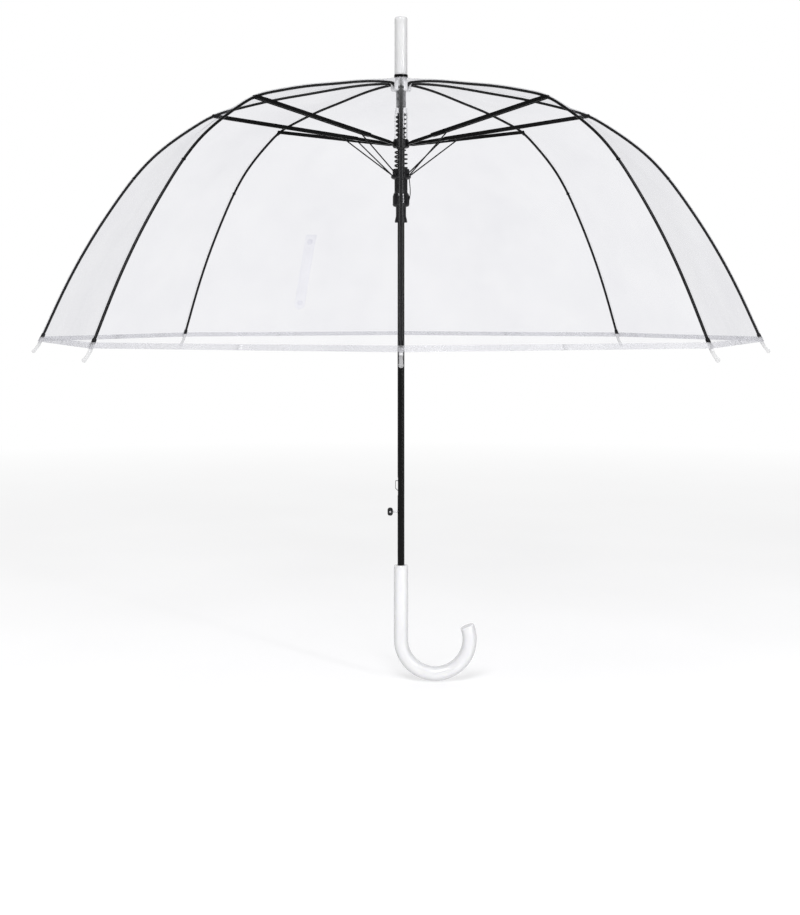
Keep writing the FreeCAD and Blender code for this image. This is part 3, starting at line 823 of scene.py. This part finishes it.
# ---------------------------------------------------------------- push button
BUTTON_SIDES = 48
BUTTON_DEPTH = 6.5            # in mm
STEM_OVERLAP = 0.2 * MM       # of the stem's end in the cap's back
PIN_PROUD = 0.15 * MM         # how far the pin's ends stand out of the cap
SQUARENESS = 2.6              # of the superellipse that the button's outline is
# the cap from the middle of its dished face to its back: (depth in mm, share of its full size)
CAP_ROWS = [(0.6, 0.04), (0.6, 0.2), (0.5, 0.36), (0.2, 0.44), (0.0, 0.5), (0.12, 0.6), (0.5, 0.76),
            (1.1, 0.89), (2.0, 0.97), (3.2, 1.0), (4.4, 0.97), (5.4, 0.89), (6.0, 0.76), (6.4, 0.6),
            (BUTTON_DEPTH, 0.5), (BUTTON_DEPTH, 0.04)]
# the stem into the shaft, past the cap's back: (distance from the shaft axis, radius)
STEM = np.array([(6.4, 1.15), (6.0, 1.5), (4.9, 1.5), (4.5, 1.15), (3.9, 1.0)]) * MM
# the cross pin from end to end: (share of its half length, radius in mm)
PIN = [(-1, 0.9), (-0.985, 1.2), (-0.9, 1.25), (0.9, 1.25), (0.985, 1.2), (1, 0.9)]


def make_button():
    """Dished cap, stem into the shaft and cross pin."""
    low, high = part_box("push_button")
    half_w, half_h = (high.y - low.y) / 2, (high.z - low.z) / 2
    mid_z = (low.z + high.z) / 2
    verts = []
    for depth, share in CAP_ROWS:
        for i in range(BUTTON_SIDES):
            a = 2 * math.pi * i / BUTTON_SIDES
            c, s = math.cos(a), math.sin(a)
            reach = share * (abs(c) ** SQUARENESS + abs(s) ** SQUARENESS) ** (-1 / SQUARENESS)
            verts.append((low.x + depth * MM, half_w * reach * c, mid_z + half_h * reach * s))
    count = len(verts)
    faces = [f[::-1] for f in grid_faces(len(CAP_ROWS), BUTTON_SIDES, close=True)]
    faces += [tuple(range(BUTTON_SIDES)), tuple(range(count - 1, count - BUTTON_SIDES - 1, -1))]
    cap = make_mesh("button_cap", verts, faces, PLASTIC)
    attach(cap, "push_button")
    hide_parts("push_button")

    stem_x = [low.x + BUTTON_DEPTH * MM - STEM_OVERLAP, *-STEM[:, 0]]
    stem = tube("button_stem", [(x, 0, mid_z) for x in stem_x], [STEM[0, 1], *STEM[:, 1]], WHITE, sides=24)
    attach(stem, "push_button")

    pin_x = low.x + BUTTON_DEPTH * MM / 2
    pin_half = half_w + PIN_PROUD
    pin = tube("button_pin", [(pin_x, share * pin_half, mid_z) for share, _ in PIN],
               [r * MM for _, r in PIN], LATCH, sides=24)
    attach(pin, "push_button")


make_button()

# ---------------------------------------------------------------- runner latch and finger leaf
PLATE_R = 10.15 * MM          # the plate follows the runner's barrel
PLATE_THICK = 0.5 * MM
PLATE_HALF = 3.4 * MM
PLATE_LOW, PLATE_HIGH = 487.5 * MM, 499.5 * MM
PLATE_ROWS, PLATE_COLS = 15, 13
DENT_DEEP, DENT_WIDE, DENT_TALL = 0.9 * MM, 1.6 * MM, 2.2 * MM
# the leaf's line beside the runner: (distance from the shaft axis, 0, height), in mm
LEAF_LINE = [(9.2, 0, 526), (9.9, 0, 520), (10.9, 0, 510), (11.3, 0, 503), (10.9, 0, 497), (9.4, 0, 490)]
LEAF_R = 0.55 * MM


def make_latch_plate():
    """Curved plate with a dent, behind the runner's window."""
    y, z = np.meshgrid(np.linspace(-PLATE_HALF, PLATE_HALF, PLATE_COLS),
                       np.linspace(PLATE_LOW, PLATE_HIGH, PLATE_ROWS))
    middle = (PLATE_LOW + PLATE_HIGH) / 2
    dent = DENT_DEEP * np.exp(-((z - middle) / DENT_TALL) ** 2 - (y / DENT_WIDE) ** 2)
    outer = np.stack([y, dent - np.sqrt(PLATE_R ** 2 - y ** 2), z], axis=-1)
    verts, faces = closed_sheet(outer, outer + np.array([0, PLATE_THICK, 0]))
    plate = make_mesh("runner_latch_plate", verts, [f[::-1] for f in faces], LATCH)
    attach(plate, "lower_runner")


def make_leaf():
    """Thin wire leaf down the runner's side."""
    leaf = tube("runner_leaf", smooth_line(LEAF_LINE, 40) * MM, LEAF_R, STEEL, sides=10)
    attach(leaf, "lower_runner")


make_latch_plate()
make_leaf()

# ---------------------------------------------------------------- floor, light, camera
FLOOR_R = 40
FLOOR_SIDES = 128
FLOOR_GAP = 0.5 * MM
WHITE_LIGHT = (1, 1, 1, 1)
# greys of the studio: (share of the way from behind the camera to behind the object, grey)
STUDIO = [(0.0, 0.2), (0.35, 0.2), (0.5, 0.10), (0.68, 0.25), (0.82, 1.0)]
SENSOR = 36
LENS = 56.6557
LENS_SHIFT = (-0.001093, -0.161858)
EYE = (0, -1.7636, 0.3583)


def pale_floor():
    """Pale paper near the object that turns into a plain white glow further away."""
    m = Material("pale_floor")
    where = m.coords()
    distance = m.add("ShaderNodeVectorMath", operation="LENGTH")
    m.link(where, distance.inputs[0])
    far = m.remap(distance.outputs["Value"], 1.0, 3.2, 0.0, 1.0)
    paper = m.shader("ShaderNodeBsdfDiffuse",
                     m.ramp(m.noise(where, 3, 3), [(0.3, grey(0.60, 0.005)), (0.7, grey(0.63, 0.005))]))
    near = m.add("ShaderNodeAddShader")
    m.link(paper.outputs[0], near.inputs[0])
    m.link(m.shader("ShaderNodeEmission", Strength=0.42).outputs[0], near.inputs[1])
    m.surface(m.mixed_shaders(far, near, m.shader("ShaderNodeEmission", WHITE_LIGHT, Strength=1.0)))
    return m.mat


def make_floor():
    """A wide disc just under the object."""
    angles = [2 * math.pi * i / FLOOR_SIDES for i in range(FLOOR_SIDES)]
    verts = [(FLOOR_R * math.cos(a), FLOOR_R * math.sin(a), 0) for a in angles]
    floor = make_mesh("floor", verts, [tuple(range(FLOOR_SIDES))], pale_floor())
    floor.location = (0, 0, cad_box[0].z - FLOOR_GAP)


def make_studio():
    """A world that is bright behind the object and above it, and darkest at the sides."""
    world = bpy.data.worlds.new("studio")
    bpy.context.scene.world = world
    world.use_nodes = True
    w = Nodes(world.node_tree)
    direction = w.add("ShaderNodeSeparateXYZ")
    w.link(w.add("ShaderNodeTexCoord").outputs["Generated"], direction.inputs[0])
    level = w.ramp(w.remap(direction.outputs["Y"], -1, 1, 0, 1), [(at, grey(v)) for at, v in STUDIO])
    above = w.remap(direction.outputs["Z"], 0.3, 1, 0, 0.8)
    w.link(w.mixed(1.0, level, above, blend="LIGHTEN"), world.node_tree.nodes["Background"].inputs["Color"])


def area_light(name, where, to, size, power):
    """A rectangular light at where that points at to."""
    data = bpy.data.lights.new(name, "AREA")
    data.shape, data.size, data.size_y, data.energy = "RECTANGLE", size[0], size[1], power
    o = bpy.data.objects.new(name, data)
    o.location = where
    o.rotation_euler = (Vector(to) - Vector(where)).to_track_quat("-Z", "Y").to_euler()
    bpy.context.scene.collection.objects.link(o)


def make_camera():
    """Level, a little above the hem's height, looking along +Y."""
    data = bpy.data.cameras.new("camera")
    data.sensor_fit = "VERTICAL"
    data.sensor_height = SENSOR
    data.lens = LENS
    data.shift_x, data.shift_y = LENS_SHIFT
    camera = bpy.data.objects.new("camera", data)
    camera.location = EYE
    camera.rotation_euler = (math.radians(90), 0, 0)
    bpy.context.scene.collection.objects.link(camera)
    bpy.context.scene.camera = camera


make_floor()
make_studio()
area_light("key", (1.35, -1.6, 0.5), (0, 0, 0.3), (0.12, 1.7), 12)
area_light("fill", (-0.3, -2.0, 2.4), (0, 0, 0.2), (1.6, 1.2), 50)
make_camera()
bpy.context.scene.view_settings.view_transform = "Standard"
